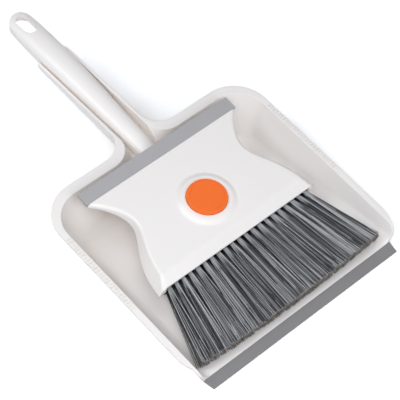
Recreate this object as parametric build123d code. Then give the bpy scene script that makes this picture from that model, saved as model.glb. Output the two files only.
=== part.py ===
from build123d import *
import os
from math import atan, cos, pi, radians, sin, tan

# Hand dust pan with its brush lying in it, in millimetres.
# X runs across the set, -Y is the lip, +Y the handles and Z is up.
# The rim, the handle channel and the brush all lie along one plane that rises to the handles.
# Stations are lengths on that rim plane from above the lip's front edge, and heights are from the plane.

# Rim plane
rim_tilt = 8.5
rim_height = 15.5

# Pan tray
pan_width = 220.0
pan_reach = 201.0
pan_wall = 2.2
floor_thickness = 2.4
side_rim = 5.5
back_rim = 9.0
rim_thickness = 2.4
rim_corner = 33.0
rim_front = 5.0
rim_nose = 24.0
side_draft = 21.0
back_lean = 16.0
floor_corner = 14.0
floor_sweep = 12.0
nose_radius = 7.0

# Comb of slots in each side rim
comb_front = 83.0
comb_back = 162.0
comb_pitch = 3.0
comb_slot = 1.0
comb_length = 4.2
comb_depth = 0.7

# Channel handle of the pan
channel_half = 13.3
channel_wall = 2.5
channel_depth = 12.5
channel_fall = 6.5
channel_end = 317.0
channel_sweep = 3.5
channel_end_round = 5.0
neck_radius = 20.0

# Rubber lip
lip_length = 9.8
lip_edge = 0.7
lip_taper = 1.3
lip_lap = 6.0
lip_seat = 14.0

# Gaps
nest_gap = 0.3
fit_gap = 0.1
badge_gap = 0.25
cut_past = 1.0

# Hood of the brush, from its straight rear edge forwards
hood_rear = 173.6
hood_rear_half = 79.0
hood_rear_depth = 3.6
waist_from_rear = 30.0
waist_half = 60.8
rear_flare = 49.0
front_flare = 3.0
hood_front_half = 83.2
panel_height = 6.5
hood_wall = 2.2
skirt_fall = 5.4
ridge_from_rear = 84.2
bevel_run = 9.0
bevel_fall = 6.7
crease_inset_rear = 0.8
crease_inset_waist = 2.4
crease_inset_front = 8.0
crease_round = 3.2
rear_bar = 10.0

# Collar, badge and the screw below it
badge_from_rear = 53.1
badge_radius = 16.8
badge_thickness = 2.4
badge_proud = 1.5
badge_ring_radius = 14.5
badge_ring_width = 1.0
badge_ring_height = 0.3
badge_spigot = 1.5
collar_height = 2.2
collar_top_radius = 19.5
collar_foot_radius = 26.0
post_radius = 8.0
screw_head_radius = 4.0
screw_head_height = 2.4
screw_radius = 2.0
screw_length = 10.0

# Squeegee blade
blade_length = 12.2
blade_proud = 0.4
blade_rise = 0.7
blade_root = 3.2
blade_edge = 1.3
blade_tongue = 1.4
blade_tongue_length = 6.0
blade_tongue_half = 70.0

# Brush handle, with the tongue that carries the hood
handle_end = 365.7
handle_root = 176.0
handle_root_half = 7.6
handle_grip = 322.0
handle_grip_half = 12.4
handle_end_half = 11.3
handle_swell = 0.6
handle_draw_in = 0.6
handle_lower_round = 2.0
root_level = -6.5
root_crown = 5.8
swell_level = -5.0
swell_crown = 7.5
grip_level = -5.0
grip_crown = 8.0
end_level = -6.5
end_crown = 5.0
end_bottom = -10.5
tongue_half = 12.0
tongue_front = 98.0
tongue_top = -1.2
tongue_thickness = 8.8
hang_length = 22.5
hang_width = 11.5
hang_margin = 5.0
hang_roof = -5.0
hang_wall = 2.0
pocket_wall = 3.4
pocket_roof = -2.0
pocket_rib = 2.6
pocket_count = 5
pocket_front = 205.0
pocket_back = 336.0

# Tuft block
block_inset = 7.4
block_step = 1.9
block_shoulder = 4.4
block_front = 82.0
block_length = 13.0
block_lip = 0.8
ear_length = 14.0
ear_thickness = 3.6
ear_top = -2.0
ear_inner = 15.0
ear_outer = 68.0
ear_screw_places = (28.0, 58.0)
ear_screw_radius = 1.6
ear_screw_length = 8.6
ear_head_radius = 3.2
ear_head_height = 2.0
ear_post_radius = 3.8

# Bristles
tufts = 21
slice_wall = 0.4
rows = ("upper", "middle", "lower")
row_pitch = 3.4
upper_row = -3.2
backing_thickness = 2.0
strand = 0.7
strand_ring = 1.1
strands_round = 6
tip_from_lip = 14.3
tip_clearance = 3.2
tip_row_pitch = 2.7
end_fan = 18.0
fan_row_step = 1.8
tip_half_width = 2.75
tip_half_height = 0.88
anchor_width = 2.2
anchor_length = 3.0
anchor_thickness = 0.6
anchor_hole_radius = 1.3
anchor_hole_depth = 6.0

# Worked out from the sizes above
rim_slope = radians(rim_tilt)
rim_plane = Plane(origin=(0, 0, rim_height), x_dir=(1, 0, 0), z_dir=(0, -sin(rim_slope), cos(rim_slope)))
front_spare = 2 * lip_length
mouth_half = pan_width / 2 - side_rim
mouth_back = pan_reach - back_rim
mouth_corner = rim_corner - side_rim
floor_back = mouth_back * cos(rim_slope) - back_lean
back_wall_slope = rim_slope + atan(back_lean / (rim_height + mouth_back * sin(rim_slope) - floor_thickness))
channel_outer = channel_half + channel_wall
handle_bottom = nest_gap - channel_depth
skirt_slope = radians(skirt_fall)
bevel_slope = atan(bevel_fall / bevel_run)
hood_front = hood_rear - ridge_from_rear - bevel_run
bevel_low = panel_height - bevel_fall
panel_underside = panel_height - hood_wall
badge_at = hood_rear - badge_from_rear
badge_floor = panel_height + collar_height - badge_thickness
badge_top = badge_floor + badge_thickness + badge_proud
screw_seat = badge_floor - badge_spigot - screw_head_height - fit_gap
slot_center = handle_end - hang_margin - hang_length / 2
block_back = block_front + block_length
slice_top = upper_row + row_pitch / 2
slice_bottom = slice_top - len(rows) * row_pitch
block_half = hood_front_half - block_inset
slice_half = block_half - slice_wall
tuft_span = 2 * (slice_half - row_pitch)
ear_screw_at = block_back + ear_length / 2


def side_prism(points, half):
    """Solid with the given outline in the YZ plane, running to both sides."""
    return extrude(Plane.YZ * make_face(Polyline(*points, close=True)), half, both=True)


def floor_side(at, underside):
    """Half width of the tray at its floor, where the leaning sides have come down from the rim."""
    fall = rim_height + at * tan(rim_slope) - underside
    return mouth_half - fall * tan(radians(side_draft))


def back_rounded(front_half, back_half, back, radius):
    """Flat outline that runs on past the lip, with its two back corners rounded."""
    sheet = make_face(Polyline((-front_half, -front_spare), (front_half, -front_spare), (back_half, back),
                               (-back_half, back), close=True))
    return fillet(sheet.vertices().group_by(Axis.Y)[-1], radius)


def tray_form(grow, underside):
    """Tray shape from the floor outline to the rim, running on past the lip."""
    back = floor_back + grow
    floor = back_rounded(floor_side(-front_spare, underside) + grow, floor_side(back, underside) + grow, back,
                         floor_corner + grow)
    mouth = back_rounded(mouth_half + grow, mouth_half + grow, mouth_back + grow, mouth_corner + grow)
    form = loft([Pos(0, 0, underside) * floor, rim_plane * mouth], ruled=True)
    base = form.faces().sort_by(Axis.Z)[0]
    front = base.edges().sort_by(Axis.Y)[0]
    return fillet(base.edges() - [front], floor_sweep + grow)


def channel_form(grow, end):
    """Solid trough below the rim plane, from inside the tray to its end."""
    half = channel_half + grow
    start = mouth_back - 2 * neck_radius
    strip = Pos(0, (start + end) / 2) * Rectangle(2 * half, end - start)
    trough = extrude(strip, -(channel_depth + grow))
    edges = trough.faces().sort_by(Axis.Z)[0].edges().filter_by(Axis.Y)
    return rim_plane * fillet(edges, channel_sweep + grow)


def neck_corners(grow):
    """Corners that round the channel's sides into the back of the tray and lean as its back wall does."""
    depth = channel_depth + grow
    reach = 2 * neck_radius
    top = neck_radius - grow
    cone = Cone(top + depth * tan(back_wall_slope), top, depth)
    corners = []
    for side in (-1, 1):
        at = Pos(side * (channel_half + neck_radius), mouth_back + neck_radius, -depth / 2)
        block = Pos(-side * reach / 2, -reach / 2) * Box(reach, reach, depth)
        corners.append(rim_plane * at * (block - cone))
    return corners


def rim_plan():
    """Outline of the flange round the tray and of the handle channel, in the rim plane."""
    tray = Pos(0, (rim_front + pan_reach) / 2) * Rectangle(pan_width, pan_reach - rim_front)
    tray = fillet(tray.vertices().group_by(Axis.Y)[0], rim_nose)
    tray = fillet(tray.vertices().group_by(Axis.Y)[-1], rim_corner)
    strip = Pos(0, (mouth_back + channel_end) / 2) * Rectangle(2 * channel_outer, channel_end - mouth_back)
    plan = tray + strip
    neck = plan.vertices().filter_by(lambda v: abs(v.X) < 2 * channel_outer and v.Y < channel_end - cut_past)
    plan = fillet(neck.filter_by(lambda v: v.Y > mouth_back), neck_radius)
    return fillet(plan.vertices().group_by(Axis.Y)[-1], channel_end_round)


def channel_edges_cut():
    """Everything above the channel's edges, which fall away from the rim plane towards its end."""
    run = 2 * (channel_end - pan_reach)
    return rim_plane * side_prism([(pan_reach, 0), (pan_reach + run, -2 * channel_fall),
                                   (pan_reach + run, channel_depth), (pan_reach, channel_depth)], pan_width)


def front_cut():
    """Everything ahead of the tray's open end, with the walls' upper corners rounded off."""
    rim_at_end = rim_height + lip_length * tan(rim_slope)
    turn = nose_radius * (1 - cos(pi / 4))
    start = (lip_length, rim_at_end - nose_radius)
    bend = (lip_length + turn, rim_at_end - turn)
    end = (lip_length + nose_radius, rim_height + (lip_length + nose_radius) * tan(rim_slope) + fit_gap)
    arc = ThreePointArc(start, bend, end)
    rest = Polyline(end, (end[0], pan_reach), (-pan_reach, pan_reach), (-pan_reach, -pan_reach),
                    (lip_length, -pan_reach), start)
    return extrude(Plane.YZ * make_face([arc, rest]), pan_width, both=True)


def comb_slots():
    """Slots across both side rims, between the comb's teeth."""
    count = int((comb_back - comb_front) / comb_pitch) + 1
    slots = []
    for side in (-1, 1):
        for i in range(count):
            at = Pos(side * (pan_width - comb_length) / 2, comb_front + i * comb_pitch)
            slots.append(rim_plane * at * Box(comb_length, comb_slot, 2 * comb_depth))
    return slots


def lip_plate(length, depth):
    """Plate behind the lip that follows the sides of the tray's underside."""
    front = floor_side(lip_length, 0) + pan_wall
    back = floor_side(lip_length + length, 0) + pan_wall
    plan = make_face(Polyline((-front, lip_length), (front, lip_length), (back, lip_length + length),
                              (-back, lip_length + length), close=True))
    return extrude(plan, depth)


def make_pan_body():
    plan = rim_plan()
    body = tray_form(pan_wall, 0) + lip_plate(lip_seat, floor_thickness)
    body = body + (channel_form(channel_wall, channel_end) & rim_plane * extrude(plan, -pan_reach))
    body = body + neck_corners(channel_wall) + rim_plane * extrude(plan, -rim_thickness)
    body = body - tray_form(0, floor_thickness) - channel_form(0, channel_end + channel_wall) - neck_corners(0)
    body = body - channel_edges_cut() - front_cut()
    return body - lip_plate(lip_lap, floor_thickness / 2) - comb_slots()


def make_pan_lip():
    half = floor_side(lip_length, 0) + pan_wall
    plan = make_face(Polyline((half, lip_length), (half - lip_taper, 0), (lip_taper - half, 0),
                              (-half, lip_length), close=True))
    wedge = side_prism([(0, 0), (0, lip_edge), (lip_length, floor_thickness), (lip_length, 0)], pan_width)
    return (wedge & extrude(plan, floor_thickness)) + lip_plate(lip_lap, floor_thickness / 2)


def hood_outline(rear_half, waist, front_half, stretch):
    """Outline from the rear edge forwards, with sides drawn in at the waist."""
    front = -(ridge_from_rear + bevel_run + cut_past)
    bend = Spline((rear_half, 0), (waist, -waist_from_rear), (front_half, front),
                  tangents=[(-sin(radians(rear_flare)), -cos(radians(rear_flare))),
                            (sin(radians(front_flare)), -cos(radians(front_flare)))])
    right = Line(bend @ 1, bend @ 1 - (0, stretch))
    sides = [bend, right, mirror(bend, Plane.YZ), mirror(right, Plane.YZ)]
    ends = [Line(right @ 1, sides[3] @ 1), Line(bend @ 0, sides[2] @ 0)]
    return make_face(sides + ends)


def hood_form(inset, top, drop):
    """Wedge between the flat panel and the plane of the skirt's lower edge."""
    crease = hood_outline(hood_rear_half - crease_inset_rear - inset, waist_half - crease_inset_waist - inset,
                          hood_front_half - crease_inset_front - inset, bevel_run)
    skirt = hood_outline(hood_rear_half - inset, waist_half - inset, hood_front_half - inset, bevel_run)
    low = Plane(origin=(0, hood_rear, panel_height - hood_rear_depth - drop), x_dir=(1, 0, 0),
                z_dir=(0, -sin(skirt_slope), cos(skirt_slope)))
    return loft([low * skirt, Pos(0, hood_rear, top) * crease], ruled=True)


def hood_nose(back):
    """Everything ahead of the hood's bevelled front, moved back by a wall."""
    foot = hood_front + back
    above = 3
    return side_prism([(foot, -pan_reach), (foot, bevel_low),
                       (foot + above * bevel_run, bevel_low + above * bevel_fall),
                       (-pan_reach, bevel_low + above * bevel_fall), (-pan_reach, -pan_reach)], pan_width)


def hood_block():
    """Solid hood with its creases rounded."""
    block = hood_form(0, panel_height, 0) - hood_nose(0)
    panel = block.faces().sort_by(Axis.Z)[-1]
    creases = panel.edges() - panel.edges().group_by(Axis.Y)[-1]
    front = block.edges().filter_by(lambda edge: edge.center().Y < hood_front + bevel_run)
    sides = front.filter_by(lambda edge: abs(edge.center().X) > waist_half)
    corners = sides.filter_by(lambda edge: edge.center().Z > bevel_low)
    return fillet(creases + corners, crease_round)


def collar():
    """Soft raised ring that the badge sits in."""
    slope = Spline((collar_foot_radius, 0), (collar_top_radius, collar_height), tangents=[(-1, 0), (-1, 0)])
    rest = Polyline((collar_top_radius, collar_height), (0, collar_height), (0, -hood_wall / 2),
                    (collar_foot_radius, -hood_wall / 2), (collar_foot_radius, 0))
    return Pos(0, badge_at, panel_height) * revolve(Plane.XZ * make_face([slope, rest]), Axis.Z)


def upright(x, y, radius, bottom, top):
    """Round bar between two heights."""
    return Pos(x, y, (bottom + top) / 2) * Cylinder(radius, top - bottom)


def ear_screws_at():
    """Places of the four screws through the tuft block's ears."""
    return [(side * x, ear_screw_at) for side in (-1, 1) for x in ear_screw_places]


def blade_section(grow):
    """Blade tongue outline, or its groove when grown."""
    middle = panel_height - hood_rear_depth / 2
    half = blade_tongue / 2 + grow
    deep = hood_rear - blade_tongue_length - grow
    return [(hood_rear, middle - half), (deep, middle - half), (deep, middle + half), (hood_rear, middle + half)]


def make_brush_hood():
    inner_back = hood_wall / sin(bevel_slope)
    cavity = hood_form(hood_wall, panel_underside, hood_rear_depth) - hood_nose(inner_back)
    bar = Pos(0, hood_rear) * Box(pan_width, 2 * rear_bar, pan_width)
    hood = hood_block() - (cavity - bar)
    mouth_half_width = block_half + nest_gap
    hood = hood - Pos(0, hood_front + inner_back / 2, bevel_low - pan_reach / 2) * Box(
        2 * mouth_half_width, 3 * inner_back, pan_reach)
    hood = hood + collar()
    hood = hood + upright(0, badge_at, post_radius, tongue_top, panel_height)
    for x, y in ear_screws_at():
        hood = hood + upright(x, y, ear_post_radius, ear_top, panel_underside + hood_wall / 2)
        hood = hood - upright(x, y, ear_screw_radius + fit_gap, ear_top - cut_past,
                              ear_top - ear_thickness + ear_screw_length + fit_gap)
    hood = hood - upright(0, badge_at, badge_radius + badge_gap, badge_floor, panel_height + 2 * collar_height)
    hood = hood - upright(0, badge_at, screw_head_radius + fit_gap, screw_seat, badge_floor)
    hood = hood - upright(0, badge_at, screw_radius + fit_gap, tongue_top - cut_past, screw_seat)
    return hood - side_prism(blade_section(fit_gap), blade_tongue_half + fit_gap)


def make_badge_cap():
    cap = upright(0, badge_at, badge_radius, badge_floor, badge_top)
    ring_top = badge_top + badge_ring_height
    ring = upright(0, badge_at, badge_ring_radius, badge_top, ring_top)
    ring = ring - upright(0, badge_at, badge_ring_radius - badge_ring_width, badge_top, ring_top)
    return cap + ring + upright(0, badge_at, screw_head_radius - fit_gap, badge_floor - badge_spigot, badge_floor)


def make_handle_screw():
    head = upright(0, badge_at, screw_head_radius, screw_seat, screw_seat + screw_head_height)
    return head + upright(0, badge_at, screw_radius, screw_seat - screw_length, screw_seat)


def make_squeegee_blade():
    top = panel_height + blade_proud
    tip = hood_rear + blade_length
    strip = [(hood_rear, top), (tip, top + blade_rise), (tip, top + blade_rise - blade_edge),
             (hood_rear, top - blade_root)]
    return side_prism(strip, hood_rear_half) + side_prism(blade_section(0), blade_tongue_half)


def handle_half(at):
    """Half width of the handle at a station, widening evenly from root to grip."""
    share = (at - handle_root) / (handle_grip - handle_root)
    return handle_root_half + (handle_grip_half - handle_root_half) * share


def handle_section(at, half, level, crown, bottom):
    """Section that is widest at its level, with an oval crown above and sides that draw in below."""
    depth = level - bottom
    foot = half - handle_draw_in
    top = EllipticalCenterArc((0, 0), half, crown, 180, arc_size=180)
    right = TangentArc((half, 0), (foot, depth), tangent=(0, 1))
    under = Line((foot, depth), (-foot, depth))
    left = mirror(right, Plane.YZ)
    face = make_face([top, right, under, left])
    face = fillet(face.vertices().group_by(Axis.Y)[-1], handle_lower_round)
    return Plane(origin=(0, at, level), x_dir=(1, 0, 0), z_dir=(0, 1, 0)) * face


def handle_bar():
    """Bar from the root to the end, widening to the grip."""
    swell = (handle_root + handle_grip) / 2
    return loft([
        handle_section(handle_root, handle_root_half, root_level, root_crown, handle_bottom),
        handle_section(swell, handle_half(swell) + handle_swell, swell_level, swell_crown, handle_bottom),
        handle_section(handle_grip, handle_grip_half, grip_level, grip_crown, handle_bottom),
        handle_section(handle_end, handle_end_half, end_level, end_crown, end_bottom),
    ])


def handle_pockets():
    """Hollows in the underside, with ribs between them."""
    step = (pocket_back - pocket_front) / pocket_count
    pockets = []
    for i in range(pocket_count):
        front = pocket_front + i * step
        back = front + step - pocket_rib
        near = handle_half(front) - pocket_wall
        far = handle_half(min(back, handle_grip)) - pocket_wall
        plan = make_face(Polyline((-near, front), (near, front), (far, back), (-far, back), close=True))
        pockets.append(Pos(0, 0, pocket_roof) * extrude(plan, -channel_depth))
    return pockets


def hang_hollow():
    """Hollow below the hanging slot, so that the slot goes through a thin roof."""
    half = handle_end_half - hang_wall
    back = handle_end - hang_wall
    plan = Pos(0, (pocket_back + back) / 2) * Rectangle(2 * half, back - pocket_back)
    plan = fillet(plan.vertices().group_by(Axis.Y)[-1], half - fit_gap)
    return Pos(0, 0, hang_roof) * extrude(plan, -channel_depth)


def make_brush_handle():
    tongue_length = handle_root - tongue_front + root_crown
    tongue = Pos(0, tongue_front + tongue_length / 2, tongue_top - tongue_thickness / 2) * Box(
        2 * tongue_half, tongue_length, tongue_thickness)
    keep = Pos(0, (tongue_front + handle_end) / 2) * Rectangle(2 * pan_width, handle_end - tongue_front)
    round_end = Pos(0, handle_end - pan_reach / 2) * Rectangle(2 * handle_end_half, pan_reach)
    round_end = fillet(round_end.vertices().group_by(Axis.Y)[-1], handle_end_half - fit_gap)
    front_part = Pos(0, slot_center / 2) * Rectangle(pan_width, slot_center)
    plan = (front_part + round_end) & keep
    handle = handle_bar() & (Pos(0, 0, handle_bottom) * extrude(plan, 2 * channel_depth))
    slot = Pos(0, slot_center) * SlotOverall(hang_length, hang_width, rotation=90)
    handle = handle + tongue - extrude(slot, channel_depth * 2, both=True)
    handle = handle - handle_pockets() - hang_hollow()
    return handle - upright(0, badge_at, screw_radius + fit_gap, screw_seat - screw_length - fit_gap, tongue_top)


def tuft_places(row):
    """Sideways places of the tufts in a row, where every second row stands half a pitch aside."""
    pitch = tuft_span / (tufts - 1)
    count = tufts - row % 2
    return [(i - (count - 1) / 2) * pitch for i in range(count)]


def row_height(row):
    """Height of a row of tufts at its roots."""
    return upper_row - row * row_pitch


def make_tuft_block():
    top = slice_top + block_lip
    bottom = slice_bottom - block_lip
    block = Pos(0, block_front + block_shoulder / 2, (top + bottom) / 2) * Box(
        2 * block_half, block_shoulder, top - bottom)
    block = block + Pos(0, (block_front + block_shoulder + block_back) / 2, (top + bottom) / 2) * Box(
        2 * (block_half - block_step), block_length - block_shoulder, top - bottom)
    for side in (-1, 1):
        at = Pos(side * (ear_inner + ear_outer) / 2, block_back + ear_length / 2, ear_top - ear_thickness / 2)
        block = block + at * Box(ear_outer - ear_inner, ear_length, ear_thickness)
    recess = Pos(0, block_front, (slice_top + slice_bottom) / 2) * Box(
        2 * slice_half, 2 * backing_thickness, slice_top - slice_bottom)
    holes = [upright(x, y, ear_screw_radius + fit_gap, ear_top - 2 * ear_thickness, ear_top + cut_past)
             for x, y in ear_screws_at()]
    for row in range(len(rows)):
        for x in tuft_places(row):
            at = Plane(origin=(x, block_front + backing_thickness + anchor_hole_depth / 2, row_height(row)),
                       x_dir=(1, 0, 0), z_dir=(0, 1, 0))
            holes.append(at * Cylinder(anchor_hole_radius, anchor_hole_depth))
    return block - recess - holes


def make_tuft_block_screws():
    under = ear_top - ear_thickness
    screws = []
    for x, y in ear_screws_at():
        head = upright(x, y, ear_head_radius, under - ear_head_height, under)
        screws.append(head + upright(x, y, ear_screw_radius, under, under + ear_screw_length))
    return Compound(screws)


def make_tuft_anchors():
    plates = []
    for row in range(len(rows)):
        for x in tuft_places(row):
            at = Pos(x, block_front + backing_thickness + anchor_length / 2, row_height(row))
            plates.append(at * Box(anchor_width, anchor_length, anchor_thickness))
    return Compound(plates)


def make_bristle_row(row):
    """Straight strands of one length, fanning out from each tuft's root, on a slice of backing."""
    height = row_height(row)
    lift = floor_thickness + tip_clearance + (len(rows) - 1 - row) * tip_row_pitch
    tip = rim_plane.to_local_coords(Vector(0, tip_from_lip, lift))
    root_y = block_front + backing_thickness / 2
    middle_strand = tip - Vector(0, root_y, height)
    offsets = [(0, 0)]
    for k in range(strands_round):
        angle = 2 * pi * k / strands_round
        offsets.append((strand_ring * cos(angle), strand_ring * sin(angle)))
    strands = []
    for x in tuft_places(row):
        aside = (end_fan + row * fan_row_step) * 2 * x / tuft_span
        foreshortened = middle_strand * (1 - (aside / middle_strand.length) ** 2) ** 0.5
        for across, up in offsets:
            root = Vector(x + across, root_y, height + up)
            spread = Vector(aside + (tip_half_width / strand_ring - 1) * across, 0,
                            (tip_half_height / strand_ring - 1) * up)
            lean = foreshortened + spread
            base = Plane(origin=root, x_dir=(1, 0, 0), z_dir=(0, -1, 0)) * Rectangle(strand, strand)
            strands.append(extrude(base, lean.length, dir=lean))
    backing = Pos(0, block_front + backing_thickness / 2, height) * Box(
        2 * slice_half, backing_thickness, row_pitch)
    return backing.fuse(*strands)


pan = {"pan_body": make_pan_body(), "pan_lip": make_pan_lip()}
brush = {
    "brush_hood": make_brush_hood(),
    "brush_handle": make_brush_handle(),
    "squeegee_blade": make_squeegee_blade(),
    "badge_cap": make_badge_cap(),
    "handle_screw": make_handle_screw(),
    "tuft_block": make_tuft_block(),
    "tuft_block_screws": make_tuft_block_screws(),
    "tuft_anchors": make_tuft_anchors(),
}
for number, name in enumerate(rows):
    brush["bristles_" + name + "_row"] = make_bristle_row(number)

nodes = dict(pan)
for name, piece in brush.items():
    nodes[name] = rim_plane * piece

front_edge = nodes["pan_lip"].bounding_box().min.Y
back_end = nodes["brush_handle"].bounding_box().max.Y
middle = (front_edge + back_end) / 2
print("length", back_end - front_edge, "middle", middle)

os.makedirs("parts", exist_ok=True)
for name, piece in nodes.items():
    export_step(Pos(0, -middle, 0) * piece, "parts/" + name + ".step")
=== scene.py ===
# %% [markdown]
# A dust pan with its brush lying in it, dressed for a studio photograph. The CAD model gives every piece
# its true size and place. This script shades the moulded pieces evenly, grows the bristles filament by
# filament and gives each material its finish.

# %% Load the CAD frame
from math import cos, pi, radians, sin

import bmesh
import bpy
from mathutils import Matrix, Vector


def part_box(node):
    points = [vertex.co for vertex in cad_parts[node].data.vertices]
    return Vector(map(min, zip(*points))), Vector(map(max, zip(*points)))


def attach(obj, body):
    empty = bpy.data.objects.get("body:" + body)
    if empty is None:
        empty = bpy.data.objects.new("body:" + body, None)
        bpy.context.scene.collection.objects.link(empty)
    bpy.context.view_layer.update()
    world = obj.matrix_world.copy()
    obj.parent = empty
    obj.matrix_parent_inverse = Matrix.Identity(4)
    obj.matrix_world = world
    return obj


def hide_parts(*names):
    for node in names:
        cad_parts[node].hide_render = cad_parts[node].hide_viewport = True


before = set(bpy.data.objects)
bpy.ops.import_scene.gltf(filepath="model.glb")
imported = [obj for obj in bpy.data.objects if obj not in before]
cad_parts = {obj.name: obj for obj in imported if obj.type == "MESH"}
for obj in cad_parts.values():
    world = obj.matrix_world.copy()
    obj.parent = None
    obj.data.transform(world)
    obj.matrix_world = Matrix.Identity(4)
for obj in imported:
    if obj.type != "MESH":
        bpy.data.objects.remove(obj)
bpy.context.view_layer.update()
print("CAD nodes:", ", ".join(sorted(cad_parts)))

# %% [markdown]
# The photograph was taken from the front left, looking down at about fifty degrees through a long lens. A
# long lens keeps the pan's far edge nearly as wide as its near one. A camera can be aimed by eye, but
# here it is worked out: it looks along the measured angle, and is then moved sideways until the middle of
# the rubber lip lands on its own pixel of the picture.

# %% Camera at the photograph's angle
IMAGE_PX = 400
FOCAL_PX = 1700
SENSOR_MM = 36
DISTANCE = 1.3215
AZIMUTH = radians(-41.89)
ELEVATION = radians(49.99)
LIP_PIXEL = (308.3, 318.4)

lip_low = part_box("pan_lip")[0]
lip_edge = Vector((0, lip_low.y, lip_low.z))
back = Vector((sin(AZIMUTH) * cos(ELEVATION), -cos(AZIMUTH) * cos(ELEVATION), sin(ELEVATION)))
right = Vector((cos(AZIMUTH), sin(AZIMUTH), 0))
up = back.cross(right)
shift_x = (LIP_PIXEL[0] - IMAGE_PX / 2) / FOCAL_PX * DISTANCE
shift_y = (IMAGE_PX / 2 - LIP_PIXEL[1]) / FOCAL_PX * DISTANCE

lens = bpy.data.cameras.new("camera")
lens.sensor_width = SENSOR_MM
lens.lens = SENSOR_MM * FOCAL_PX / IMAGE_PX
camera = bpy.data.objects.new("camera", lens)
camera.location = lip_edge + back * DISTANCE - right * shift_x - up * shift_y
camera.rotation_euler = back.to_track_quat("Z", "Y").to_euler()
bpy.context.scene.collection.objects.link(camera)
bpy.context.scene.camera = camera
print("camera at", [round(v, 3) for v in camera.location])

# %% [markdown]
# Every finish below is a small tree of nodes. Colours are written as they look on a screen, and the
# renderer works in linear light, so one function turns the one into the other. Another adds a node, sets
# it up and hands back the output that the next node needs, which keeps a tree readable from top to
# bottom.

# %% Helpers for every node tree


def linear(written):
    """Linear colour for a written one such as E8E6E6."""
    values = [int(written[i:i + 2], 16) / 255 for i in (0, 2, 4)]
    return [v / 12.92 if v <= 0.04045 else ((v + 0.055) / 1.055) ** 2.4 for v in values] + [1.0]


def add(tree, kind, inputs, output=0, **settings):
    """Adds one node, sets its options, fills or links its inputs and gives back one of its outputs."""
    node = tree.nodes.new(kind)
    for key, value in settings.items():
        setattr(node, key, value)
    for key, value in inputs.items():
        if isinstance(value, bpy.types.NodeSocket):
            tree.links.new(value, node.inputs[key])
        else:
            node.inputs[key].default_value = value
    return node.outputs[output]


print("middle grey is", round(linear("808080")[0], 3), "in linear light")

# %% [markdown]
# No moulded or rubber surface is quite even. Its colour drifts where the melt flowed, its gloss varies,
# and its skin is not quite flat. Soft noise in Object coordinates gives all three, because it needs no
# unwrapping and its size can be stated in millimetres. Edges are rounded by the shader, which bends the
# light over them as the small radius of a mould would, so the mesh keeps the exact size of the CAD model.

# %% Helpers for uneven surfaces


def new_material(name):
    """New material with its node tree, its shader's inputs and the place on the piece in metres."""
    material = bpy.data.materials.new(name)
    material.use_nodes = True
    tree = material.node_tree
    shader = tree.nodes["Principled BSDF"].inputs
    place = add(tree, "ShaderNodeTexCoord", {}, "Object")
    return material, tree, shader, place


def blotches(tree, place, size_mm, low, high, detail=2.0):
    """Soft noise with blotches about that many millimetres across, between two numbers."""
    sizes = {"Vector": place, "Scale": 1000 / size_mm, "Detail": detail}
    noise = add(tree, "ShaderNodeTexNoise", sizes, "Fac")
    usual = {"Value": noise, "From Min": 0.2, "From Max": 0.8, "To Min": low, "To Max": high}
    return add(tree, "ShaderNodeMapRange", usual, "Result", clamp=False)


def drifting(tree, place, size_mm, first, second, detail=2.0):
    """Colour that drifts between two written ones over about that many millimetres."""
    share = blotches(tree, place, size_mm, 0, 1, detail)
    return add(tree, "ShaderNodeMix", {0: share, 6: linear(first), 7: linear(second)}, 2, data_type="RGBA")


def relief(tree, height, depth_mm, edge_mm):
    """Small relief of that depth, on a surface whose sharp edges look rounded to that radius."""
    edge = add(tree, "ShaderNodeBevel", {"Radius": edge_mm / 1000}, samples=8)
    return add(tree, "ShaderNodeBump", {"Height": height, "Distance": depth_mm / 1000, "Normal": edge})


print("helpers for uneven surfaces are ready")

# %% [markdown]
# The pan, the hood and the handle are injection moulded in white polypropylene. A polished mould leaves a
# glossy skin with a faint waviness, where the plastic shrank as it cooled. The default IOR of 1.5 is
# right for it. The gloss stays within a narrow band, because a moulding's shine is much the same all
# over.

# %% White plastic
# Moulded polypropylene: a warm white body under a broad, soft shine that bends a little.
white_plastic, tree, shader, place = new_material("white_polypropylene_gloss")
tree.links.new(drifting(tree, place, 90, "FBF2EA", "FDF4EC", 0.0), shader["Base Color"])
tree.links.new(blotches(tree, place, 45, 0.3, 0.33, 0.0), shader["Roughness"])
waves = blotches(tree, place, 40, 0, 1, 0.0)
tree.links.new(relief(tree, waves, 0.012, 0.8), shader["Normal"])
print(white_plastic.name, len(tree.nodes), "nodes")

# %% [markdown]
# The scraper blade behind the hood and the lip at the front of the pan are soft grey rubber, moulded in a
# tool with a grained surface. The blade is the lighter of the two, and one function makes both.

# %% Grey rubbers
# Moulded thermoplastic rubber: the grain scatters the light, so it looks matt and even.
# Real grain is about a tenth of a millimetre wide. It is drawn coarser here, so that it shows.
GRAIN_MM = 0.7


def rubber(name, dark, pale):
    """Matt rubber with a fine grain."""
    material, tree, shader, place = new_material(name)
    tree.links.new(drifting(tree, place, 25, dark, pale), shader["Base Color"])
    grain = blotches(tree, place, GRAIN_MM, 0, 1, 3.0)
    gloss = add(tree, "ShaderNodeMapRange", {"Value": grain, "To Min": 0.5, "To Max": 0.62}, clamp=False)
    tree.links.new(gloss, shader["Roughness"])
    tree.links.new(relief(tree, grain, 0.012, 0.3), shader["Normal"])
    return material


blade_rubber = rubber("blade_rubber_matt", "ADA8A6", "B3AEAC")
lip_rubber = rubber("lip_rubber_matt", "837F7D", "898583")
print(blade_rubber.name, lip_rubber.name)

# %% [markdown]
# The round cap that hides the handle's screw is moulded in orange ABS. Its tool was blasted with fine
# grit, which leaves a satin face with much smaller dimples than the rubber has.

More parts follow.
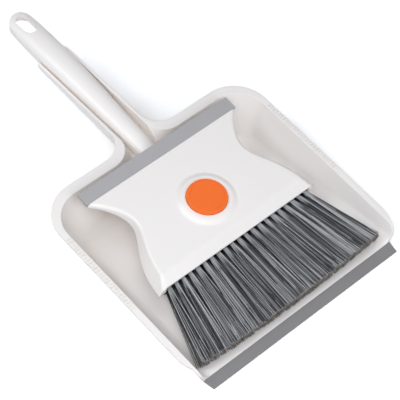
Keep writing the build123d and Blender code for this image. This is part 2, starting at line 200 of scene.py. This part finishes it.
# %% Orange plastic
# Moulded ABS: a strong orange under a soft sheen.
# Real dimples are too fine to see, and are drawn coarser here, so that the sheen breaks up.
DIMPLE_MM = 0.5
orange_plastic, tree, shader, place = new_material("orange_abs_satin")
tree.links.new(drifting(tree, place, 12, "FF6E12", "FF731A"), shader["Base Color"])
dimples = blotches(tree, place, DIMPLE_MM, 0, 1, 3.0)
gloss = add(tree, "ShaderNodeMapRange", {"Value": dimples, "To Min": 0.36, "To Max": 0.46}, clamp=False)
tree.links.new(gloss, shader["Roughness"])
tree.links.new(relief(tree, dimples, 0.0036, 0.3), shader["Normal"])
print(orange_plastic.name, len(tree.nodes), "nodes")

# %% [markdown]
# The block that holds the tufts is painted charcoal as the deep shade between the tuft roots, so that it
# can't be seen between them. The screws, and the anchors in the tuft holes, are plated steel. All of them
# lie in the shade of the hood, so they need no relief.

# %% Tuft block in painted shade, and steel
# Moulded polypropylene, painted a dull charcoal as the deep shade between the tuft roots.
charcoal_plastic, tree, shader, place = new_material("painted_shade_charcoal_satin")
tree.links.new(drifting(tree, place, 6, "232426", "2A2B2D"), shader["Base Color"])
tree.links.new(blotches(tree, place, 0.8, 0.45, 0.6), shader["Roughness"])

# Zinc plating: a pale metal shine, a little cloudy.
steel, tree, shader, place = new_material("zinc_plated_steel")
shader["Metallic"].default_value = 1.0
tree.links.new(drifting(tree, place, 2, "B4B6B8", "C6C8CA"), shader["Base Color"])
tree.links.new(blotches(tree, place, 0.6, 0.3, 0.45), shader["Roughness"])
print(charcoal_plastic.name, steel.name)

# %% [markdown]
# Bristles are drawn nylon filament, and their colour paints the light and shade on them. Each filament gets
# a random grey for the angle at which it catches the light, as painted glints and shade. Near the roots the
# front row is painted pale as lit and the rows behind nearly black as deep shade, and the cut tips are
# painted brown as the shadow there. The filaments carry three attributes for this: tone is a filament's
# painted shade, along runs from root to tip, and light is how much light its row is painted with.

# %% Bristle nylon
# Drawn nylon: smooth threads with a narrow shine, painted dark beside bright as light and shade.
# Painted shade: the rows behind get less painted light than the front row.
ROW_LIGHT = {"upper": 1.0, "middle": 0.7, "lower": 0.5}
bristle_nylon, tree, shader, place = new_material("bristle_nylon_grey")
tone = add(tree, "ShaderNodeAttribute", {}, "Fac", attribute_name="tone")
along = add(tree, "ShaderNodeAttribute", {}, "Fac", attribute_name="along")
light = add(tree, "ShaderNodeAttribute", {}, "Fac", attribute_name="light")

# Painted light and shade along the shaft, from deep shade to a filament that catches the light.
greys = {0: tone, 6: linear("1A1919"), 7: linear("E2DFDD")}
shaft = add(tree, "ShaderNodeMix", greys, 2, data_type="RGBA")
# Painted light and shade at the roots: pale for the front row, nearly black for the rows behind.
rows = {"Value": light, "From Min": ROW_LIGHT["middle"], "From Max": ROW_LIGHT["upper"]}
in_front = add(tree, "ShaderNodeMapRange", rows, "Result")
root_greys = {0: in_front, 6: linear("0C0C0C"), 7: linear("D0CECC")}
root_light_and_shade = add(tree, "ShaderNodeMix", root_greys, 2, data_type="RGBA")
near_root = add(tree, "ShaderNodeMapRange", {"Value": along, "From Min": 0.2, "From Max": 0.0}, "Result")
with_root_light_and_shade = add(tree, "ShaderNodeMix", {0: near_root, 6: shaft, 7: root_light_and_shade}, 2, data_type="RGBA")
# Painted shadow: the cut tips turn brown.
near_tip = add(tree, "ShaderNodeMapRange", {"Value": along, "From Min": 0.985, "From Max": 1.0}, "Result")
with_tip_shadow = add(tree, "ShaderNodeMix", {0: near_tip, 6: with_root_light_and_shade, 7: linear("9C938A")}, 2, data_type="RGBA")
tree.links.new(with_tip_shadow, shader["Base Color"])
shader["Roughness"].default_value = 0.33
print(bristle_nylon.name, len(tree.nodes), "nodes")

# %% [markdown]
# A CAD solid comes as loose triangles, which look faceted. A copy of each solid in view is merged into
# one skin, shaded smoothly over its curves and kept crisp at its edges. A real bevel on such thin walls
# would cut into itself, so the finishes above round the edges instead. Weighted normals keep the large
# flat faces flat.

# %% Smooth copies of the moulded pieces
MERGE_DISTANCE = 2e-6
SHARP_ANGLE = radians(28)


def merged(node, name, material):
    """Copy of a CAD node's mesh as one skin, with its edges marked sharp or smooth."""
    work = bmesh.new()
    work.from_mesh(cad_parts[node].data)
    bmesh.ops.remove_doubles(work, verts=work.verts, dist=MERGE_DISTANCE)
    for face in work.faces:
        face.material_index = 0
        face.smooth = True
    for edge in work.edges:
        edge.smooth = edge.calc_face_angle(0) < SHARP_ANGLE
    mesh = bpy.data.meshes.new(name)
    mesh.materials.append(material)
    work.to_mesh(mesh)
    work.free()
    return mesh


def smoothed(node, name, body, material):
    """Evenly shaded piece that stands for a CAD node."""
    piece = bpy.data.objects.new(name, merged(node, name, material))
    bpy.context.scene.collection.objects.link(piece)
    even = piece.modifiers.new("even", "WEIGHTED_NORMAL")
    even.keep_sharp = True
    shown = piece.evaluated_get(bpy.context.evaluated_depsgraph_get())
    piece.data = bpy.data.meshes.new_from_object(shown)
    piece.modifiers.remove(even)
    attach(piece, body)
    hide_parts(node)
    print(name, len(piece.data.polygons), "faces")


smoothed("pan_body", "pan_shell", "pan", white_plastic)
smoothed("pan_lip", "lip_strip", "pan", lip_rubber)
smoothed("brush_hood", "hood_shell", "brush", white_plastic)
smoothed("brush_handle", "handle_bar", "brush", white_plastic)
smoothed("squeegee_blade", "blade_strip", "brush", blade_rubber)
smoothed("badge_cap", "cap_disc", "brush", orange_plastic)

# %% [markdown]
# The tuft block and the hardware inside the hood hardly show, so the CAD solids keep their shape and only
# take a finish.

# %% Finish the inner pieces
# The tuft block takes the charcoal that paints the shade between the tuft roots.
for node, material, slot in (("tuft_block", charcoal_plastic, "charcoal_plastic"),
                             ("tuft_block_screws", steel, "steel"),
                             ("tuft_anchors", steel, "steel"),
                             ("handle_screw", steel, "steel")):
    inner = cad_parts[node]
    inner.data.materials.clear()
    inner.data.materials.append(material)
    print(node, "is", material.name)

# %% [markdown]
# A machine folds a bundle of filaments over a metal anchor and staples it into a hole of the block. So
# the brush is three rows of round tufts that stand apart at their roots and run together at their tips.
# Hair particles could do this, but Geometry Nodes make a row from a few named sizes, and give a plain
# mesh that can be exported.

# %% Named sizes of a tuft row
row_inputs = {
    "Tufts": "Int", "Filaments": "Int", "Seed": "Int",
    "First tuft": "Float", "Pitch": "Float", "Fan": "Float",
    "Root station": "Float", "Root height": "Float", "Reach": "Float", "Fall": "Float",
    "Root half width": "Float", "Root half height": "Float",
    "Tip half width": "Float", "Tip half height": "Float",
    "Straggle": "Float", "Bow": "Float", "Light": "Float", "Radius": "Float",
}
grow = bpy.data.node_groups.new("grow_tuft_row", "GeometryNodeTree")
sockets = {}
for label, kind in row_inputs.items():
    sockets[label] = grow.interface.new_socket(name=label, in_out="INPUT", socket_type="NodeSocket" + kind)
grow.interface.new_socket(name="Geometry", in_out="OUTPUT", socket_type="NodeSocketGeometry")
given = add(grow, "NodeGroupInput", {}).node.outputs
print("a row has", len(row_inputs), "sizes")

# %% [markdown]
# Each filament has a number, and dividing it by the filaments in a tuft tells which tuft it belongs to.
# Within a tuft the filaments lie in a round bundle, and a few of them keep together as a wisp. So a
# filament's spot is the sum of two random ones: a small one that its wisp shares and a larger one of its
# own.

# %% Where a filament lies in its tuft
WISPS = 7
WISP_REACH = 0.3
OWN_REACH = 0.8


def drawn(low, high, seed, per):
    """A random number, drawn once for each value of per."""
    own_seed = add(grow, "ShaderNodeMath", {0: given["Seed"], 1: seed}, operation="ADD")
    return add(grow, "FunctionNodeRandomValue", {2: low, 3: high, 7: per, 8: own_seed}, 1)


def spot(seed, per, reach):
    """A random spot in a disc of that reach, drawn once for each value of per."""
    out = add(grow, "ShaderNodeMath", {0: drawn(0.0, 1.0, seed, per)}, operation="SQRT")
    far = add(grow, "ShaderNodeMath", {0: out, 1: reach}, operation="MULTIPLY")
    arm = add(grow, "ShaderNodeCombineXYZ", {"X": far})
    turned = {"Vector": arm, "Angle": drawn(0.0, 2 * pi, seed + 1, per)}
    return add(grow, "ShaderNodeVectorRotate", turned, rotation_type="Y_AXIS", invert=True)


number = add(grow, "GeometryNodeInputIndex", {})
tufts_before = add(grow, "ShaderNodeMath", {0: number, 1: given["Filaments"]}, operation="DIVIDE")
tuft = add(grow, "ShaderNodeMath", {0: tufts_before}, operation="FLOOR")
pick = add(grow, "ShaderNodeMath", {0: drawn(0.0, WISPS - 0.001, 9, number)}, operation="FLOOR")
wisp = add(grow, "ShaderNodeMath", {0: tuft, 1: WISPS, 2: pick}, operation="MULTIPLY_ADD")
spots = {0: spot(10, wisp, WISP_REACH), 1: spot(1, number, OWN_REACH)}
in_tuft = add(grow, "ShaderNodeVectorMath", spots, operation="ADD")
print("a tuft has", WISPS, "wisps")

# %% [markdown]
# Roots stand in a straight row, one hole for each tuft at an even pitch. The filaments fill the hole, so a
# spot in the tuft is stretched to the half width and half height of the hole and added to its middle.

# %% Root of a filament
steps = {0: tuft, 1: given["Pitch"], 2: given["First tuft"]}
middle = add(grow, "ShaderNodeMath", steps, operation="MULTIPLY_ADD")
centre = {"X": middle, "Y": given["Root station"], "Z": given["Root height"]}
hole = add(grow, "ShaderNodeCombineXYZ", centre)
bundle = add(grow, "ShaderNodeCombineXYZ", {"X": given["Root half width"], "Z": given["Root half height"]})
root = add(grow, "ShaderNodeVectorMath", {0: in_tuft, 1: bundle, 2: hole}, operation="MULTIPLY_ADD")
print("node group has", len(grow.nodes), "nodes so far")

# %% [markdown]
# Tips fan out to the sides, and each tuft strays a little, as bristles do after use. All filaments are cut
# to one length, so one that leans aside reaches less far forward: its tip lies on an arc, and the sine of
# its lean is its step aside over its reach. The cut is a little ragged.

# %% Tip of a filament
RAGGED = 0.009

strays = {0: drawn(-1.0, 1.0, 3, tuft), 1: drawn(-1.0, 1.0, 12, number)}
stray = add(grow, "ShaderNodeMath", strays, operation="ADD")
strayed = add(grow, "ShaderNodeMath", {0: stray, 1: given["Straggle"]}, operation="MULTIPLY")
fanned = add(grow, "ShaderNodeMath", {0: middle, 1: given["Fan"], 2: strayed}, operation="MULTIPLY_ADD")
lifts = {0: drawn(-0.5, 0.5, 4, tuft), 1: given["Straggle"]}
lift = add(grow, "ShaderNodeMath", lifts, operation="MULTIPLY")
end = add(grow, "ShaderNodeCombineXYZ", {"X": fanned, "Z": lift})
wide = {"X": given["Tip half width"], "Z": given["Tip half height"]}
brush_out = add(grow, "ShaderNodeCombineXYZ", wide)
spread = add(grow, "ShaderNodeVectorMath", {0: in_tuft, 1: brush_out, 2: end}, operation="MULTIPLY_ADD")

tip_x = add(grow, "ShaderNodeSeparateXYZ", {0: spread}, "X")
root_x = add(grow, "ShaderNodeSeparateXYZ", {0: root}, "X")
aside = add(grow, "ShaderNodeMath", {0: tip_x, 1: root_x}, operation="SUBTRACT")
sine = add(grow, "ShaderNodeMath", {0: aside, 1: given["Reach"]}, operation="DIVIDE")
lean = add(grow, "ShaderNodeMath", {0: sine}, operation="ARCSINE")
short = add(grow, "ShaderNodeMath", {0: lean}, operation="COSINE")

cut = add(grow, "ShaderNodeMath", {0: short, 1: drawn(-RAGGED, RAGGED, 5, number)}, operation="ADD")
far = {0: given["Reach"], 1: cut, 2: given["Root station"]}
tip_y = add(grow, "ShaderNodeMath", far, operation="MULTIPLY_ADD")
low = {0: given["Fall"], 1: short, 2: given["Root height"]}
tip_z = add(grow, "ShaderNodeMath", low, operation="MULTIPLY_ADD")
ahead = add(grow, "ShaderNodeCombineXYZ", {"Y": tip_y, "Z": tip_z})
tip = add(grow, "ShaderNodeVectorMath", {0: spread, 1: ahead}, operation="ADD")
print("node group has", len(grow.nodes), "nodes so far")

# %% [markdown]
# One point stands for each filament and keeps what was worked out for it: its ends, how it bows and its
# painted shade. Raising a random number to a power leaves most filaments dark and a few bright, painted as
# the glints on a bundle of threads, and each row's light darkens the rows behind as painted shade.

# %% Points that carry the filaments
MOSTLY_DARK = 2.8

sags = {"X": drawn(-1.0, 1.0, 6, number), "Z": drawn(-0.6, 0.6, 7, number)}
sag = add(grow, "ShaderNodeCombineXYZ", sags)
bend = add(grow, "ShaderNodeVectorMath", {0: sag, "Scale": given["Bow"]}, operation="SCALE")
# Painted glints and shade: a few filaments bright as if they caught the light, the rows behind darker.
painted_glint = add(grow, "ShaderNodeMath", {0: drawn(0.0, 1.0, 8, number), 1: MOSTLY_DARK}, operation="POWER")
shade = add(grow, "ShaderNodeMath", {0: painted_glint, 1: given["Light"]}, operation="MULTIPLY")

count = add(grow, "ShaderNodeMath", {0: given["Tufts"], 1: given["Filaments"]}, operation="MULTIPLY")
points = add(grow, "GeometryNodePoints", {"Count": count})
for name, kind, value in (("root", "FLOAT_VECTOR", root), ("tip", "FLOAT_VECTOR", tip),
                          ("bend", "FLOAT_VECTOR", bend), ("tone", "FLOAT", shade),
                          ("light", "FLOAT", given["Light"])):
    stored = {"Geometry": points, "Name": name, "Value": value}
    points = add(grow, "GeometryNodeStoreNamedAttribute", stored, data_type=kind, domain="POINT")
print("node group has", len(grow.nodes), "nodes so far")

# %% [markdown]
# A short line is put on every point and then laid from root to tip. A parabola that is nothing at both ends
# adds the slight bow. Each place on a line also keeps how far along it lies, for the colour of root and tip.

# %% Lines along the filaments
STEPS = 6

line = add(grow, "GeometryNodeCurvePrimitiveLine", {})
line = add(grow, "GeometryNodeResampleCurve", {"Curve": line, "Count": STEPS})
strands = add(grow, "GeometryNodeInstanceOnPoints", {"Points": points, "Instance": line})
strands = add(grow, "GeometryNodeRealizeInstances", {"Geometry": strands})
factor = add(grow, "GeometryNodeSplineParameter", {}, "Factor")
stored = {"Geometry": strands, "Name": "along", "Value": factor}
strands = add(grow, "GeometryNodeStoreNamedAttribute", stored, data_type="FLOAT", domain="POINT")

held = {}
for name in ("root", "tip", "bend"):
    held[name] = add(grow, "GeometryNodeInputNamedAttribute", {"Name": name}, "Attribute",
                     data_type="FLOAT_VECTOR")
ends = {0: factor, 4: held["root"], 5: held["tip"]}
straight = add(grow, "ShaderNodeMix", ends, 1, data_type="VECTOR")
to_go = add(grow, "ShaderNodeMath", {0: 1.0, 1: factor}, operation="SUBTRACT")
hump = add(grow, "ShaderNodeMath", {0: factor, 1: to_go}, operation="MULTIPLY")
arch = add(grow, "ShaderNodeMath", {0: hump, 1: 4.0}, operation="MULTIPLY")
bowed = add(grow, "ShaderNodeVectorMath", {0: held["bend"], "Scale": arch}, operation="SCALE")
path = add(grow, "ShaderNodeVectorMath", {0: straight, 1: bowed}, operation="ADD")
strands = add(grow, "GeometryNodeSetPosition", {"Geometry": strands, "Position": path})
print("a line has", STEPS, "points")

# %% [markdown]
# A thin tube runs along each line. It has only three sides, because there are thousands of them and each is
# under a pixel wide. Last, the row is tilted with the rim of the pan, along which the CAD model measures it,
# and painted. Instances are made real first, because an export would drop them.

# %% Tubes along the lines
RIM_TILT = radians(8.5)
RIM_HEIGHT = 0.0155
SIDES = 3

wire = add(grow, "GeometryNodeCurvePrimitiveCircle", {"Resolution": SIDES, "Radius": given["Radius"]})
tube = {"Curve": strands, "Profile Curve": wire, "Fill Caps": True}
tubes = add(grow, "GeometryNodeCurveToMesh", tube)
on_rim = {"Geometry": tubes, "Translation": (0, lip_low.y, RIM_HEIGHT), "Rotation": (RIM_TILT, 0, 0)}
placed = add(grow, "GeometryNodeTransform", on_rim)
placed = add(grow, "GeometryNodeRealizeInstances", {"Geometry": placed})
painted = add(grow, "GeometryNodeSetMaterial", {"Geometry": placed, "Material": bristle_nylon})
result = grow.nodes.new("NodeGroupOutput")
grow.links.new(painted, result.inputs["Geometry"])
print("node group has", len(grow.nodes), "nodes")

# %% [markdown]
# The three rows differ only in their height, in how far they fan out and in the light and shade painted on
# them. The middle row has one tuft less, so that its tufts stand in the gaps of the others. Real filaments
# are about 0.2 millimetres thick, and a hundred or more fill a hole. Here they are fewer and drawn coarser,
# so that single ones show in the picture.

# %% Grow the three rows
TUFT_PITCH = 0.0072
FILAMENTS = 70
FILAMENT_RADIUS = 0.00024
STRAGGLE = 0.0011
BOW = 0.00066
ROOT_STATION = 0.0835
TIP_FROM_LIP = 0.0143
ROW_ROOTS = {"upper": -0.0032, "middle": -0.0066, "lower": -0.0100}
ROW_TIPS = {"upper": 0.0110, "middle": 0.0083, "lower": 0.0056}
ROW_FANS = {"upper": 1.25, "middle": 1.275, "lower": 1.30}
ROW_TUFTS = {"upper": 21, "middle": 20, "lower": 21}


def row_sizes(row, seed):
    """Sizes of one row, with stations and heights along the tilted plane of the pan's rim."""
    rise = ROW_TIPS[row] - RIM_HEIGHT
    tip_station = TIP_FROM_LIP * cos(RIM_TILT) + rise * sin(RIM_TILT)
    tip_height = rise * cos(RIM_TILT) - TIP_FROM_LIP * sin(RIM_TILT)
    return {
        "Tufts": ROW_TUFTS[row], "Filaments": FILAMENTS, "Seed": seed,
        "First tuft": -TUFT_PITCH * (ROW_TUFTS[row] - 1) / 2, "Pitch": TUFT_PITCH, "Fan": ROW_FANS[row],
        "Root station": ROOT_STATION, "Root height": ROW_ROOTS[row],
        "Reach": tip_station - ROOT_STATION, "Fall": tip_height - ROW_ROOTS[row],
        "Root half width": 0.0018, "Root half height": 0.0013,
        "Tip half width": 0.0056, "Tip half height": 0.0013,
        "Straggle": STRAGGLE, "Bow": BOW, "Light": ROW_LIGHT[row], "Radius": FILAMENT_RADIUS,
    }


def grow_row(row, seed):
    """One row of tufts as a plain mesh that stands for the CAD row."""
    piece = bpy.data.objects.new("tufts_" + row, bpy.data.meshes.new("tufts_" + row))
    bpy.context.scene.collection.objects.link(piece)
    modifier = piece.modifiers.new("grow", "NODES")
    modifier.node_group = grow
    for label, value in row_sizes(row, seed).items():
        modifier[sockets[label].identifier] = value
    shown = piece.evaluated_get(bpy.context.evaluated_depsgraph_get())
    mesh = bpy.data.meshes.new_from_object(shown)
    piece.modifiers.remove(modifier)
    piece.data = mesh
    for face in mesh.polygons:
        face.use_smooth = True
    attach(piece, "brush")
    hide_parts("bristles_" + row + "_row")
    print(piece.name, len(mesh.polygons), "faces")


for order, row in enumerate(ROW_ROOTS):
    grow_row(row, 100 * order)

# %% [markdown]
# The set stands on a sweep of white paper. Paper in a studio looks grey unless it is lit more than the
# object, and more light would wash the white plastic out. So the paper is only brighter where it is
# looked at straight, also in a reflection, and keeps its shadow there. Farther away it fades to pure
# white, which hides its edge.

# %% Floor
FLOOR_HALF = 3
FLOOR_DROP = 0.0005
PAPER = (0.8, 0.8, 0.8, 1)
PAPER_SEEN = (1.7, 1.64, 1.58, 1)
FADE_START = 0.3
FADE_END = 0.9


def seen_straight(tree):
    """One where the camera, a reflection or a see-through piece looks at the surface, and else nothing."""
    rays = add(tree, "ShaderNodeLightPath", {}).node.outputs
    seen = {0: rays["Is Camera Ray"], 1: rays["Is Glossy Ray"]}
    either = add(tree, "ShaderNodeMath", seen, operation="MAXIMUM")
    return add(tree, "ShaderNodeMath", {0: either, 1: rays["Is Transmission Ray"]}, operation="MAXIMUM")


floor_mesh = bpy.data.meshes.new("floor")
corners = [(-FLOOR_HALF, -FLOOR_HALF, 0), (FLOOR_HALF, -FLOOR_HALF, 0),
           (FLOOR_HALF, FLOOR_HALF, 0), (-FLOOR_HALF, FLOOR_HALF, 0)]
floor_mesh.from_pydata(corners, [], [(0, 1, 2, 3)])
floor = bpy.data.objects.new("floor", floor_mesh)
floor.location.z = -FLOOR_DROP
bpy.context.scene.collection.objects.link(floor)

# Uncoated paper: flat white without any shine. Its warm tint offsets the slightly cool lamps.
paper, tree, shader, place = new_material("white_paper_sweep")
seen = seen_straight(tree)
bright = add(tree, "ShaderNodeMix", {0: seen, 6: PAPER, 7: PAPER_SEEN}, 2, data_type="RGBA")
tree.links.new(bright, shader["Base Color"])
away = add(tree, "ShaderNodeVectorMath", {0: place}, "Value", operation="LENGTH")
fading = {"Value": away, "From Min": FADE_START, "From Max": FADE_END}
faded = add(tree, "ShaderNodeMapRange", fading, "Result")
glow = add(tree, "ShaderNodeMath", {0: seen, 1: faded}, operation="MULTIPLY")
tree.links.new(glow, shader["Emission Strength"])
shader["Emission Color"].default_value = (1, 1, 1, 1)
shader["Roughness"].default_value = 1.0
shader["Specular IOR Level"].default_value = 0.0
floor_mesh.materials.append(paper)
print("floor lies", FLOOR_DROP * 1000, "mm below the pan")

# %% [markdown]
# Four large soft lamps light the set from different sides, so that no shadow is hard. The key comes from
# behind the left and draws the bright line along the handle. One hangs overhead, one stands low in front
# and lights the bevel above the bristles, and the fill beside the camera opens up the inside of the pan.

# %% Lamps
LAMP_WIDTH = 0.7
LAMP_COLOUR = "EDF5FF"
LAMPS = {
    "key": ((-0.75, 0.4, 1.05), 6.8),
    "top": ((0.1, 0, 1.4), 3),
    "front": ((0.1, -1.25, 0.6), 6.2),
    "fill": ((-0.6, -0.65, 0.95), 6.2),
}
for name, (stand, watts) in LAMPS.items():
    lamp = bpy.data.lights.new(name, "AREA")
    lamp.size = LAMP_WIDTH
    lamp.energy = watts
    lamp.color = linear(LAMP_COLOUR)[:3]
    box = bpy.data.objects.new(name, lamp)
    box.location = stand
    box.rotation_euler = Vector(stand).to_track_quat("Z", "Y").to_euler()
    bpy.context.scene.collection.objects.link(box)
    print(name, "lamp of", watts, "watts")

# %% [markdown]
# The background is pure white where it is seen straight, and gives the object only a little light, like
# the pale walls of a studio. The Standard view shows each colour about as it was written.

# %% Background
AMBIENT = 0.1

world = bpy.data.worlds.new("studio")
world.use_nodes = True
bpy.context.scene.world = world
sky = world.node_tree
ambient = sky.nodes["Background"].inputs
levels = {"Value": seen_straight(sky), "To Min": AMBIENT, "To Max": 1.0}
level = add(sky, "ShaderNodeMapRange", levels, "Result")
sky.links.new(level, ambient["Strength"])
ambient["Color"].default_value = (1, 1, 1, 1)
bpy.context.scene.view_settings.view_transform = "Standard"
print("background gives", AMBIENT, "of white as light")
